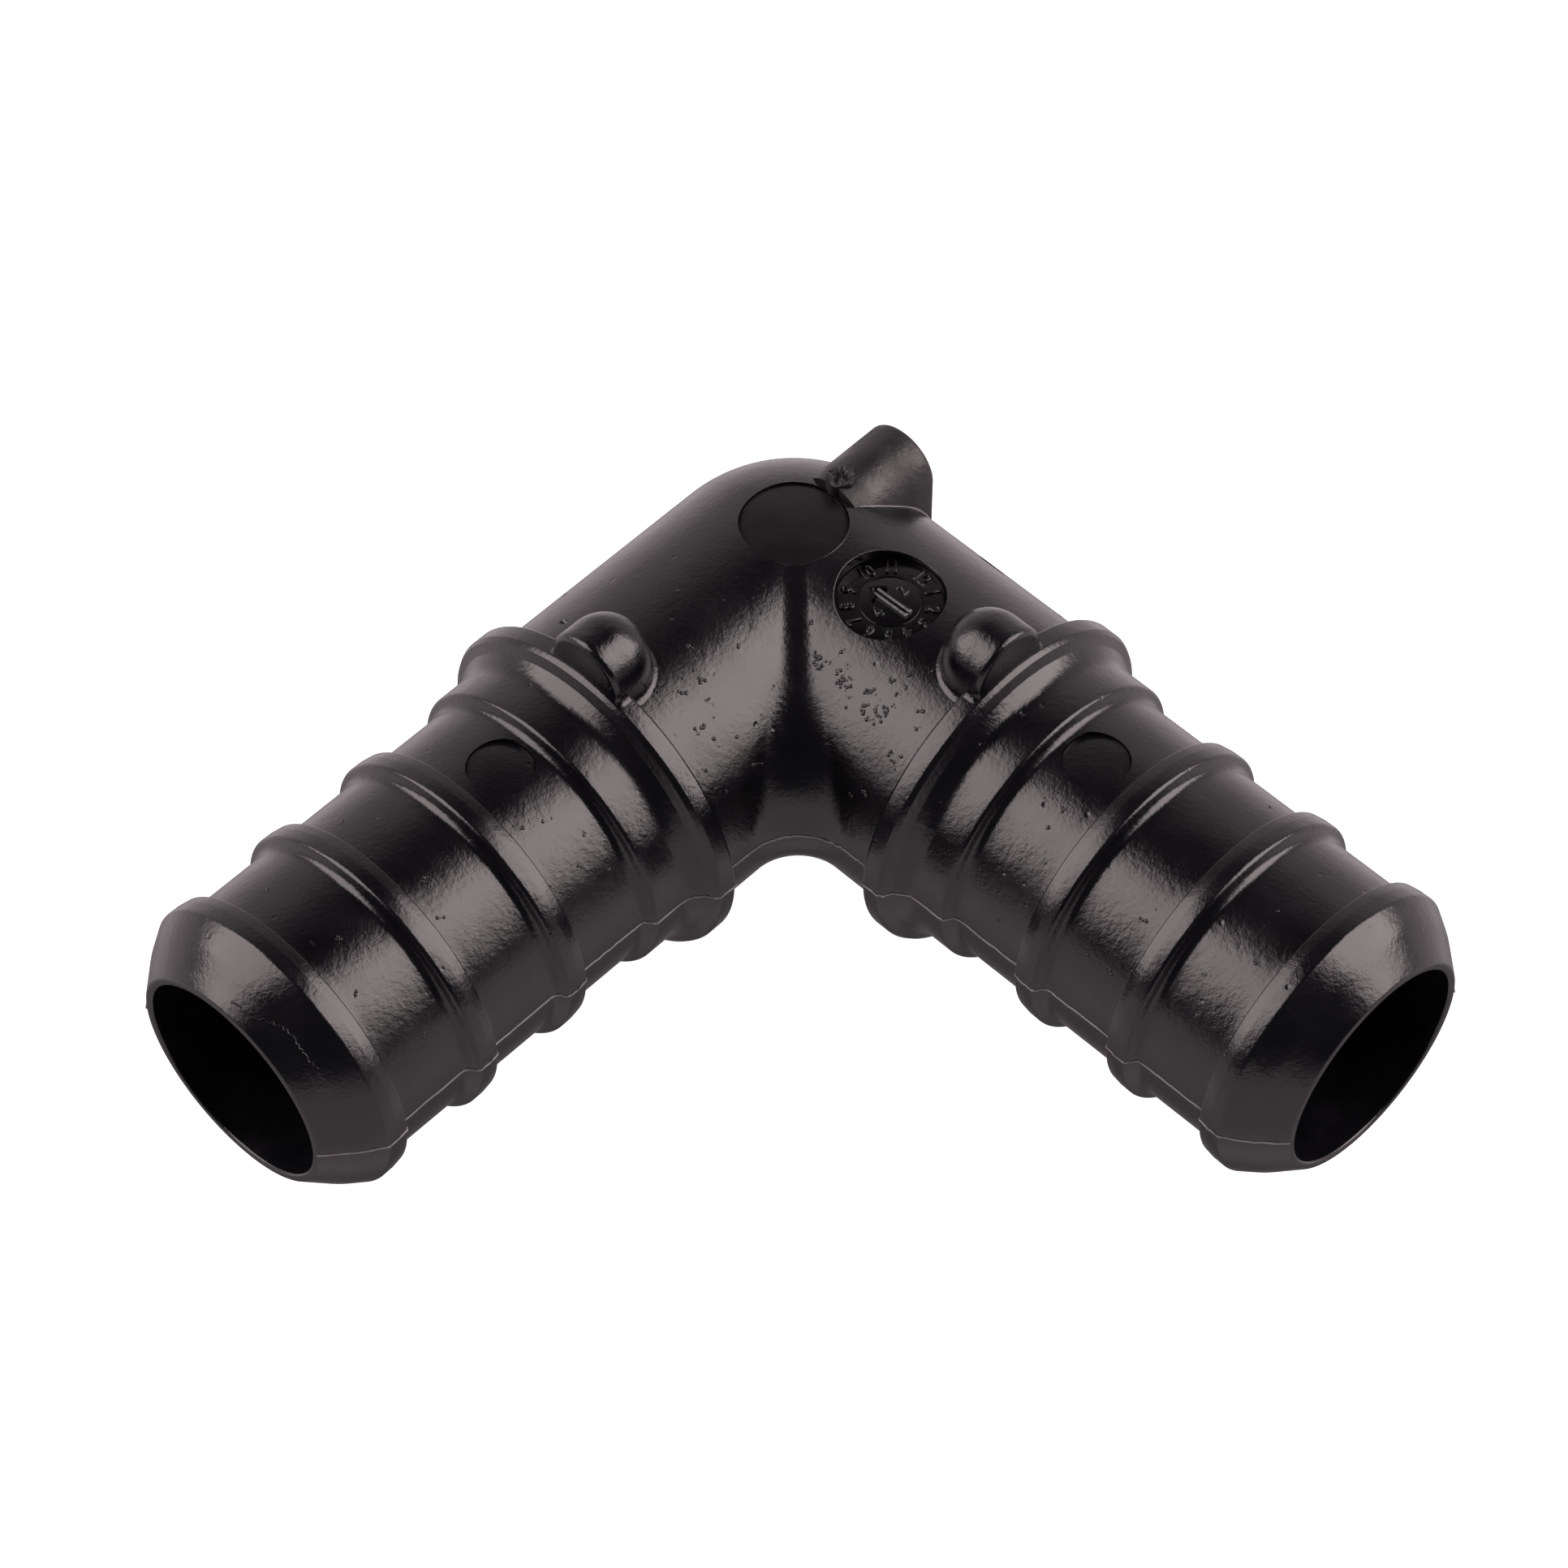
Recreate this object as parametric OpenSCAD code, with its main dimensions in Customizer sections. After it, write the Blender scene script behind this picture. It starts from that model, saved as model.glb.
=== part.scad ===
// Barbed hose elbow, 90 degrees, one rigid moulding shown as its named features.
// Origin: where the two bore centre lines cross. +Z is up, out of the plane of the bend.
// Both hose tails lie in the XY plane and point towards -X -Y (left) and +X -Y (right).

/* [Bore and elbow tube] */
// Diameter of the water way, mouth to mouth
bore_d = 16.2; // [8:0.1:19.5]
// Outside diameter of the plain tube round the bend
tube_d = 24.2; // [20:0.1:29.2]
// Radius of the web that fills the inner corner of the bend
web_radius = 4.8; // [2:0.1:5]

/* [Hose tails] */
// Diameter over the ribs, which the hose seals on
crest_d = 23.4; // [19.5:0.1:28.2]
// Number of ribs in front of the shoulder
rib_count = 3; // [1:1:6]
// Distance from one rib to the next
rib_pitch = 8.6; // [4:0.1:12]
// Depth of each rib above the root of the tail
rib_depth = 0.85; // [0.4:0.05:1.4]
// Length of each rib's cylindrical crest
rib_crest = 1.0; // [0.5:0.1:1.5]
// Length of the slope behind each crest
rib_heel = 0.85; // [0.4:0.05:2]
// Drop of that slope, before the step down to the root
heel_drop = 0.15; // [0.05:0.05:0.6]
// Length of the steep face in front of each rib
rib_face = 0.5; // [0.2:0.1:0.8]
// Length of the shoulder between the collar and the first root
shoulder = 2.5; // [1:0.1:5]
// Length of the lead-in cone at the mouth
lead_in = 3.9; // [2:0.1:6]
// Width of the flat lip round each mouth
lip = 0.6; // [0.4:0.1:1.5]

/* [Collars] */
// Distance from the crossing of the centre lines to the back of each collar
collar_at = 19.6; // [19.4:0.1:26]
// How far the collar that stops the hose stands out past the ribs
collar_height = 1.65; // [1:0.05:4]
// Width of the collar's cylindrical land
collar_land = 1.5; // [1:0.1:2]
// Length of the slope from the land down to the tail
collar_slope = 2.3; // [1:0.1:2.8]

/* [Lugs] */
// Width of the lug on top of each collar
lug_w = 6.4; // [4:0.1:7.8]
// How far the lug's top stands above the collar
lug_height = 3.45; // [2:0.05:5]
// Length of the lug along its leg, back from the collar's front edge
lug_length = 5.3; // [5:0.1:6.5]

/* [Corner stub] */
// Width of the round-topped stub on the outer corner
stub_w = 6.4; // [4:0.1:7.6]
// How far the stub's top lies below the top of the tube
stub_drop = 0.1; // [0.05:0.05:1]
// How far the stub's end face lies inside the tube's outer corner
stub_inset = 0.6; // [0:0.1:1.5]
// Gap between the gate and the back of the stub
stub_gap = 0.1; // [0.05:0.05:0.5]

/* [Moulding marks] */
// Diameter of the round flat face on top of the bend
flat_face_d = 8; // [5:0.5:9]
// Depth of the flat face below the top of the tube
flat_face_depth = 0.85; // [0.7:0.05:1.2]
// Diameter of the date clock
clock_d = 8; // [5:0.5:9]
// Distance from the rim of the flat face to the rim of the date clock
clock_gap = 1.5; // [0.5:0.1:2]
// Depth of the date clock's face below the top of the tube
clock_depth = 1.1; // [0.8:0.05:1.4]
// Thickness of the date clock's dial
clock_dial = 0.5; // [0.3:0.1:0.6]
// Height of the clock's raised marks
clock_relief = 0.25; // [0.1:0.05:0.3]
// Width of the clock's raised marks
clock_mark_w = 0.7; // [0.4:0.05:1]
// Distance from the marks' centres to the rim of the clock
clock_mark_inset = 0.95; // [0.6:0.05:1.2]
// Length of the clock's pointer
pointer_length = 3.4; // [2:0.1:4.5]
// Width of the pointer's shaft; its head is three times as wide
pointer_w = 0.45; // [0.3:0.05:0.6]
// Diameter of the ejector-pin mark on each tail
pin_mark_d = 4.9; // [3:0.1:5.9]
// Depth of the pin mark below the root of the tail
pin_mark_depth = 0.45; // [0.35:0.05:0.6]
// Diameter of the broken-off gate
gate_d = 1.7; // [1:0.1:1.8]
// Distance from the rim of the flat face to the gate
gate_gap = 0.3; // [0.2:0.1:0.6]
// Height of the gate above the tube under its middle
gate_height = 0.65; // [0.3:0.05:1]

/* [Hidden] */
$fn = 96;

LEFT = 225;
RIGHT = 315;
bore_r = bore_d / 2;
tube_r = tube_d / 2;
crest_r = crest_d / 2;
root_r = crest_r - rib_depth;
heel_r = crest_r - heel_drop;
collar_r = crest_r + collar_height;

// Stations along each leg, measured from the crossing of the centre lines
collar_edge_at = collar_at + collar_land;
collar_foot_at = collar_edge_at + collar_slope;
shoulder_at = collar_foot_at + shoulder;
first_crest_at = shoulder_at + rib_count * rib_pitch;
mouth_at = first_crest_at + lead_in;
// The pin mark lies on the root in front of the shoulder
pin_mark_at = shoulder_at + rib_face + pin_mark_d / 2 + 0.35;

// The round corner stands this much proud of the tube, so that the surfaces cross cleanly
corner_r = tube_r + 0.1;
// The bore's round corner does the same inside
bore_corner_r = bore_r + 0.05;
// The web's own roundness, and how far it sinks so that it crosses the tube cleanly
web_tube_r = 0.58 * tube_r;
web_sink = 0.04;
// How far a cutting tool passes the face that it cuts
past = 1;

lug_r = lug_w / 2;
lug_top = collar_r + lug_height;
// The dome's middle, and the lug's flat front part
lug_back_at = collar_edge_at - lug_length + lug_r;
lug_front = lug_r / 2;
stub_r = stub_w / 2;
stub_top = tube_r - stub_drop;
stub_end_at = tube_r - stub_inset;
clock_at = (flat_face_d + clock_d) / 2 + clock_gap;
clock_floor_z = tube_r - clock_depth - clock_dial;
clock_mark_at = clock_d / 2 - clock_mark_inset;
gate_at = (flat_face_d + gate_d) / 2 + gate_gap;
stub_back_at = gate_at + gate_d / 2 + stub_gap;
gate_top = sqrt(corner_r * corner_r - gate_at * gate_at) + gate_height;

module black() color([0.05, 0.05, 0.055]) children();

// Turns a shape that points along +X so that it points along a leg
module on_leg(leg) rotate([0, 0, leg]) children();

// A round bar along +X
module bar(radius, from, to) {
    translate([from, 0, 0])
        rotate([0, 90, 0])
            cylinder(r = radius, h = to - from);
}

// A shape turned about +X; its outline holds [radius, distance along the leg]
module turned(outline) {
    rotate([0, 90, 0])
        rotate_extrude()
            polygon(outline);
}

module tube_outside() {
    on_leg(LEFT) bar(tube_r, 0, collar_at);
    on_leg(RIGHT) bar(tube_r, 0, collar_at);
    sphere(r = corner_r);
}

module water_way() {
    on_leg(LEFT) bar(bore_r, 0, mouth_at + past);
    on_leg(RIGHT) bar(bore_r, 0, mouth_at + past);
    sphere(r = bore_corner_r);
}

// The web is a quarter of a ring that rounds the inner corner
module inner_web() {
    translate([0, web_sink - (tube_r + web_radius) * sqrt(2), 0])
        rotate([0, 0, 45])
            rotate_extrude(angle = 90)
                translate([web_radius + web_tube_r, 0])
                    circle(r = web_tube_r);
}

// A round recess sunk from above, centred on a leg's line
module recess(leg, at, diameter, floor_z) {
    on_leg(leg)
        translate([at, 0, floor_z])
            cylinder(d = diameter, h = tube_d);
}

module elbow_bend() {
    black()
        difference() {
            union() {
                tube_outside();
                inner_web();
            }
            water_way();
            recess(RIGHT, 0, flat_face_d, tube_r - flat_face_depth);
            recess(RIGHT, clock_at, clock_d, clock_floor_z);
        }
}

module collar(leg) {
    black()
        on_leg(leg)
            turned([
                [bore_r, collar_at],
                [collar_r, collar_at],
                [collar_r, collar_edge_at],
                [crest_r, collar_foot_at],
                [bore_r, collar_foot_at]
            ]);
}

// One rib from front to back, with its crest's front edge at the distance given
function rib(front) = [
    [root_r, front + rib_face],
    [crest_r, front],
    [crest_r, front - rib_crest],
    [heel_r, front - rib_crest - rib_heel],
    [root_r, front - rib_crest - rib_heel]
];

// The first rib has the lead-in cone for its front, and the shoulder has only a front
function first_rib() = [for (i = [1:4]) rib(first_crest_at)[i]];
function later_ribs() = [for (k = [1:1:rib_count - 1]) each rib(first_crest_at - k * rib_pitch)];
function shoulder_front() = [for (i = [0:1]) rib(shoulder_at)[i]];

module hose_tail(leg) {
    black()
        difference() {
            on_leg(leg)
                turned(concat(
                    [[bore_r, mouth_at], [bore_r + lip, mouth_at]],
                    first_rib(),
                    later_ribs(),
                    shoulder_front(),
                    [[crest_r, collar_foot_at], [bore_r, collar_foot_at]]
                ));
            recess(leg, pin_mark_at, pin_mark_d, root_r - pin_mark_depth);
        }
}

// An upright post with a flat front and a domed top, seated on the tube and the collar's land
module lug(leg) {
    black()
        on_leg(leg)
            difference() {
                hull() {
                    translate([lug_back_at, 0, lug_top - lug_r])
                        sphere(r = lug_r, $fn = 32);
                    translate([lug_back_at, 0, 0])
                        cylinder(r = lug_r, h = lug_top - lug_r, $fn = 32);
                    translate([collar_edge_at - lug_front, 0, lug_top - lug_r])
                        rotate([0, 90, 0])
                            cylinder(r = lug_r, h = lug_front, $fn = 32);
                    translate([collar_edge_at - lug_front, -lug_r, 0])
                        cube([lug_front, lug_w, lug_front]);
                }
                bar(tube_r, 0, collar_at);
                bar(collar_r, collar_at, collar_foot_at);
            }
}

// A round-topped pad that continues the left leg's line past the outer corner
module corner_stub() {
    black()
        difference() {
            on_leg(LEFT + 180)
                translate([stub_back_at, 0, 0])
                    rotate([90, 0, 90])
                        linear_extrude(height = stub_end_at - stub_back_at)
                            union() {
                                translate([0, stub_top - stub_r])
                                    circle(r = stub_r);
                                translate([-stub_r, 0])
                                    square([stub_w, stub_top - stub_r]);
                            }
            tube_outside();
        }
}

// Twelve marks and a pointer stand on the dial, inside its rim
module date_clock() {
    black()
        on_leg(RIGHT)
            translate([clock_at, 0, clock_floor_z]) {
                cylinder(d = clock_d, h = clock_dial);
                for (hour = [1:12])
                    rotate([0, 0, 30 * hour])
                        translate([clock_mark_at, 0, clock_dial])
                            cylinder(d = clock_mark_w, h = clock_relief);
                translate([-pointer_length / 2, 0, clock_dial])
                    clock_pointer();
            }
}

// A straight shaft with a three-cornered head
module clock_pointer() {
    head = 3 * pointer_w;
    linear_extrude(height = clock_relief)
        union() {
            translate([0, -pointer_w / 2])
                square([pointer_length - head / 2, pointer_w]);
            polygon([
                [pointer_length - head, -head / 2],
                [pointer_length, 0],
                [pointer_length - head, head / 2]
            ]);
        }
}

// The gate's stump, run down to the plane of the centre lines so that the tube can cut its seat
module gate_core() {
    on_leg(LEFT + 180)
        translate([gate_at, 0, 0])
            cylinder(d = gate_d, h = gate_top);
}

module gate_mark() {
    black()
        difference() {
            gate_core();
            tube_outside();
        }
}

elbow_bend();
collar(LEFT);  // left_collar
collar(RIGHT);  // right_collar
hose_tail(LEFT);  // left_hose_tail
hose_tail(RIGHT);  // right_hose_tail
lug(LEFT);  // left_lug
lug(RIGHT);  // right_lug
corner_stub();
date_clock();
gate_mark();
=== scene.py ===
"""Barbed hose elbow: finished surfaces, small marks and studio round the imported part."""
import math
import random

import bmesh
import bpy
from mathutils import Matrix, Vector


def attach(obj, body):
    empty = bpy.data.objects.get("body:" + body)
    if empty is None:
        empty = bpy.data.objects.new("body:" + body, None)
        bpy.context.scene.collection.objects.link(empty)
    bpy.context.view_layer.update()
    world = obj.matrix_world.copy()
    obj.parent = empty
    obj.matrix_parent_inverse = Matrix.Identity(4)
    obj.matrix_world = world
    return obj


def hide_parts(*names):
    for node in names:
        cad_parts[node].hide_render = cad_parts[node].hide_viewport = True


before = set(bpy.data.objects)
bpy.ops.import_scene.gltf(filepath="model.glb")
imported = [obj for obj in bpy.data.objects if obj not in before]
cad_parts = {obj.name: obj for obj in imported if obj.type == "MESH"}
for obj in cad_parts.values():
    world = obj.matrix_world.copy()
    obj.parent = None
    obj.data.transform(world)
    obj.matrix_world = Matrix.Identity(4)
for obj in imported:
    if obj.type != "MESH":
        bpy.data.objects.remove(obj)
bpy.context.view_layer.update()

MM = 0.001
SQ = math.sqrt(0.5)

# A leg is (direction out to its mouth, direction across it towards the inner corner)
LEFT = (Vector((-SQ, -SQ, 0)), Vector((SQ, -SQ, 0)))
RIGHT = (Vector((SQ, -SQ, 0)), Vector((-SQ, -SQ, 0)))
# The stub's line runs on from the left leg past the outer corner
STUB_LINE = (Vector((SQ, SQ, 0)), Vector((SQ, -SQ, 0)))
UP = Vector((0, 0, 1))

# Sizes in millimetres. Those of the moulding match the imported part, apart from RIB_FACE, SPLIT_AT, the
# lug's places, the stub's sizes and the clock's inner sizes, which suit the finished pieces.
BORE_R = 8.1
TUBE_R = 12.1
WEB_R = 4.8
CREST_R = 11.7
ROOT_R = 10.85
HEEL_R = 11.55
MOUTH_AT = 55.6
FIRST_CREST_AT = 51.7
RIB_PITCH = 8.6
RIB_CREST = 1.0
RIB_HEEL = 0.85
RIB_FACE = 0.45
SHOULDER_AT = 25.9
LIP = 0.6
COLLAR_AT = 19.6
COLLAR_R = 13.35
COLLAR_EDGE_AT = 21.1
COLLAR_FOOT_AT = 23.4
SPLIT_AT = COLLAR_FOOT_AT + 0.5
LUG_R = 3.2
LUG_MIDDLE_AT = 18.9
LUG_FRONT_AT = 21.0
LUG_DOME_Z = 13.6
STUB_R = 3.1
STUB_DOME_Z = 8.95
STUB_BACK_AT = 4.25
STUB_END_AT = 11.55
FACE_R = 4.0
FACE_Z = 11.25
CLOCK_AT = 9.5
CLOCK_R = 4.0
CLOCK_Z = 11.0
CLOCK_INSERT_R = 2.22
CLOCK_FIGURES_AT = 3.08
CLOCK_YEAR_AT = 1.3
PIN_AT = 29.2
PIN_R = 2.45
PIN_Z = 10.4
GATE_AT = 5.15
FLOOR_Z = -13.36
FLOOR_HALF = 6000.0

# How far a round seat is sunk below its mark's face, and how far its cutter stands past the tube
SEAT_SINK = 0.4
PAST_TUBE = 2

# Bearing of the clock's arrow, and of each hour, in degrees from +Y towards +X
ARROW_BEARING = -47
HOURS = {11: 3, 12: 48, 1: 76, 2: 105, 3: 131, 4: 158, 5: 184, 6: 210, 7: 237, 8: 263, 9: 290, 10: 328}

# Studio: the lights' and the room's tint, and the camera in millimetres
LIGHT_TINT = (1, 0.87, 0.88)
ROOM_TINT = (1, 0.87, 0.9)
CAMERA_AT = Vector((-4.31, -247.2, 317.2))
LOOK_AT = Vector((-0.92, -14.53, 0))


def place(leg, along, across, height):
    """A point in metres, from millimetres along a leg, across it and up."""
    return (leg[0] * along + leg[1] * across + UP * height) * MM


# ---------------------------------------------------------------- meshes

def mesh_object(name, verts, faces, edges=()):
    """A piece from its points, faces and loose edges, in metres."""
    mesh = bpy.data.meshes.new(name)
    mesh.from_pydata([tuple(v) for v in verts], [tuple(e) for e in edges], [tuple(f) for f in faces])
    mesh.update()
    obj = bpy.data.objects.new(name, mesh)
    bpy.context.scene.collection.objects.link(obj)
    return obj


def clean(obj, merge=2e-6, turn=True):
    """Merges doubles and points the faces outwards."""
    bm = bmesh.new()
    bm.from_mesh(obj.data)
    bmesh.ops.remove_doubles(bm, verts=bm.verts, dist=merge)
    bmesh.ops.dissolve_degenerate(bm, edges=bm.edges, dist=merge)
    if turn:
        bmesh.ops.recalc_face_normals(bm, faces=bm.faces)
    bm.to_mesh(obj.data)
    bm.free()
    return obj


def smooth(obj, angle=32):
    """Smooth shading, with a hard edge wherever two faces meet at more than the angle."""
    obj.data.polygons.foreach_set("use_smooth", [True] * len(obj.data.polygons))
    obj.data.set_sharp_from_angle(angle=math.radians(angle))
    return obj


def bake_modifiers(obj):
    """Puts what the modifiers make into the mesh itself, and removes them."""
    bpy.context.view_layer.update()
    view = bpy.context.evaluated_depsgraph_get()
    mesh = bpy.data.meshes.new_from_object(obj.evaluated_get(view))
    obj.modifiers.clear()
    obj.data = mesh
    return obj


def cut(obj, cutters):
    """Cuts closed shapes out of a piece."""
    for cutter in cutters:
        clean(cutter)
        mod = obj.modifiers.new("cut", "BOOLEAN")
        mod.operation = "DIFFERENCE"
        mod.solver = "EXACT"
        mod.object = cutter
    bake_modifiers(obj)
    for cutter in cutters:
        bpy.data.objects.remove(cutter)
    return obj


def disc(name, centre, radius, low, high, rounding=0.0, steps=96):
    """An upright round plate, with its top edge rounded over."""
    rings = [(radius, low), (radius, high - rounding)]
    if rounding:
        rings += [(radius - rounding * (1 - math.cos(a)), high - rounding * (1 - math.sin(a)))
                  for a in (math.pi / 6, math.pi / 3, math.pi / 2)]
    verts, faces = [], []
    for r, z in rings:
        for i in range(steps):
            a = 2 * math.pi * i / steps
            verts.append(centre + Vector((r * math.cos(a), r * math.sin(a), z)) * MM)
    for j in range(len(rings) - 1):
        for i in range(steps):
            k = (i + 1) % steps
            faces.append((j * steps + i, j * steps + k, (j + 1) * steps + k, (j + 1) * steps + i))
    faces.append(tuple(range(steps))[::-1])
    faces.append(tuple(range((len(rings) - 1) * steps, len(rings) * steps)))
    return mesh_object(name, verts, faces)


def rounded(corners, closed=True, step=0.8, turn_step=11):
    """An outline from corners (x, y, rounding), with arcs at the corners and even steps between."""
    n = len(corners)
    line = []
    for i, (x, y, r) in enumerate(corners):
        here = Vector((x, y))
        ends = not closed and i in (0, n - 1)
        if r <= 0 or ends:
            line.append(here)
            continue
        back = Vector(corners[i - 1][:2]) - here
        ahead = Vector(corners[(i + 1) % n][:2]) - here
        turn = math.pi - back.angle(ahead)
        reach = min(r * math.tan(turn / 2), 0.49 * back.length, 0.49 * ahead.length)
        r = reach / math.tan(turn / 2)
        start = here + back.normalized() * reach
        middle = here + (back.normalized() + ahead.normalized()).normalized() * (r / math.cos(turn / 2))
        steps = max(2, math.ceil(math.degrees(turn) / turn_step))
        arm = start - middle
        sign = 1 if back.x * ahead.y - back.y * ahead.x < 0 else -1
        for k in range(steps + 1):
            a = sign * turn * k / steps
            line.append(middle + Vector((arm.x * math.cos(a) - arm.y * math.sin(a),
                                         arm.x * math.sin(a) + arm.y * math.cos(a))))
    fine = []
    for i, p in enumerate(line):
        fine.append(p)
        if i == len(line) - 1 and not closed:
            break
        q = line[(i + 1) % len(line)]
        parts = math.ceil((q - p).length / step)
        fine += [p.lerp(q, k / parts) for k in range(1, parts)]
    return fine


# ---------------------------------------------------------------- node trees

def new_tree(name, inputs):
    """An empty tree with a geometry input and output, and the named inputs (label, kind, value)."""
    tree = bpy.data.node_groups.new(name, "GeometryNodeTree")
    tree.interface.new_socket("Geometry", in_out="INPUT", socket_type="NodeSocketGeometry")
    for label, kind, value in inputs:
        socket = tree.interface.new_socket(label, in_out="INPUT", socket_type=kind)
        if value is not None:
            socket.default_value = value
    tree.interface.new_socket("Geometry", in_out="OUTPUT", socket_type="NodeSocketGeometry")
    return tree, tree.nodes.new("NodeGroupInput"), tree.nodes.new("NodeGroupOutput")


def finish_tree(tree, source, ends, out):
    """Every tree ends in Realize Instances and Set Material."""
    real = tree.nodes.new("GeometryNodeRealizeInstances")
    paint = tree.nodes.new("GeometryNodeSetMaterial")
    tree.links.new(source, real.inputs[0])
    tree.links.new(real.outputs[0], paint.inputs["Geometry"])
    tree.links.new(ends.outputs["Material"], paint.inputs["Material"])
    tree.links.new(paint.outputs[0], out.inputs[0])


def turned_tree():
    """Turns a closed outline, drawn as (radius, 0, distance along), about the Z axis."""
    tree, ins, out = new_tree("turned about an axis", [
        ("Segments", "NodeSocketInt", 256), ("Path Radius", "NodeSocketFloat", 0.01),
        ("Material", "NodeSocketMaterial", None)])
    outline = tree.nodes.new("GeometryNodeMeshToCurve")
    ring = tree.nodes.new("GeometryNodeCurvePrimitiveCircle")
    up = tree.nodes.new("GeometryNodeSetCurveNormal")
    up.mode = "Z_UP"
    sweep = tree.nodes.new("GeometryNodeCurveToMesh")
    tree.links.new(ins.outputs["Geometry"], outline.inputs[0])
    tree.links.new(ins.outputs["Segments"], ring.inputs["Resolution"])
    tree.links.new(ins.outputs["Path Radius"], ring.inputs["Radius"])
    tree.links.new(ring.outputs[0], up.inputs[0])
    tree.links.new(up.outputs[0], sweep.inputs["Curve"])
    tree.links.new(outline.outputs[0], sweep.inputs["Profile Curve"])
    finish_tree(tree, sweep.outputs[0], ins, out)
    return tree


def bead_tree():
    """A thin round bead that follows a line of edges."""
    tree, ins, out = new_tree("bead along a line", [
        ("Bead Radius", "NodeSocketFloat", 0.0001), ("Sides", "NodeSocketInt", 8),
        ("Material", "NodeSocketMaterial", None)])
    path = tree.nodes.new("GeometryNodeMeshToCurve")
    ring = tree.nodes.new("GeometryNodeCurvePrimitiveCircle")
    sweep = tree.nodes.new("GeometryNodeCurveToMesh")
    sweep.inputs["Fill Caps"].default_value = True
    tree.links.new(ins.outputs["Geometry"], path.inputs[0])
    tree.links.new(ins.outputs["Sides"], ring.inputs["Resolution"])
    tree.links.new(ins.outputs["Bead Radius"], ring.inputs["Radius"])
    tree.links.new(path.outputs[0], sweep.inputs["Curve"])
    tree.links.new(ring.outputs[0], sweep.inputs["Profile Curve"])
    finish_tree(tree, sweep.outputs[0], ins, out)
    return tree


def pimple_tree():
    """A low pimple at each point, its height along the point's own direction."""
    tree, ins, out = new_tree("pimples on points", [
        ("Pimple Size", "NodeSocketFloat", 0.0001), ("Flatness", "NodeSocketFloat", 0.5),
        ("Material", "NodeSocketMaterial", None)])
    aim = tree.nodes.new("GeometryNodeInputNamedAttribute")
    aim.data_type = "FLOAT_VECTOR"
    aim.inputs["Name"].default_value = "aim"
    share = tree.nodes.new("GeometryNodeInputNamedAttribute")
    share.data_type = "FLOAT"
    share.inputs["Name"].default_value = "share"
    turn = tree.nodes.new("FunctionNodeAlignRotationToVector")
    turn.axis = "Z"
    ball = tree.nodes.new("GeometryNodeMeshIcoSphere")
    ball.inputs["Subdivisions"].default_value = 2
    flat = tree.nodes.new("ShaderNodeCombineXYZ")
    flat.inputs[0].default_value = 1
    flat.inputs[1].default_value = 1
    size = tree.nodes.new("ShaderNodeVectorMath")
    size.operation = "SCALE"
    spots = tree.nodes.new("GeometryNodeMeshToPoints")
    put = tree.nodes.new("GeometryNodeInstanceOnPoints")
    tree.links.new(ins.outputs["Geometry"], spots.inputs[0])
    tree.links.new(spots.outputs[0], put.inputs["Points"])
    tree.links.new(ins.outputs["Pimple Size"], ball.inputs["Radius"])
    tree.links.new(ball.outputs["Mesh"], put.inputs["Instance"])
    tree.links.new(aim.outputs["Attribute"], turn.inputs["Vector"])
    tree.links.new(turn.outputs[0], put.inputs["Rotation"])
    tree.links.new(ins.outputs["Flatness"], flat.inputs[2])
    tree.links.new(flat.outputs[0], size.inputs[0])
    tree.links.new(share.outputs["Attribute"], size.inputs["Scale"])
    tree.links.new(size.outputs[0], put.inputs["Scale"])
    finish_tree(tree, put.outputs[0], ins, out)
    return tree


def run_tree(obj, tree, **values):
    """Runs a tree on a piece with the named inputs set, and keeps the result as a plain mesh."""
    mod = obj.modifiers.new(tree.name, "NODES")
    mod.node_group = tree
    for item in tree.interface.items_tree:
        if item.in_out == "INPUT" and item.name in values:
            mod[item.identifier] = values[item.name]
    return bake_modifiers(obj)


turn = turned_tree()
beads = bead_tree()


# ---------------------------------------------------------------- materials

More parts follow.
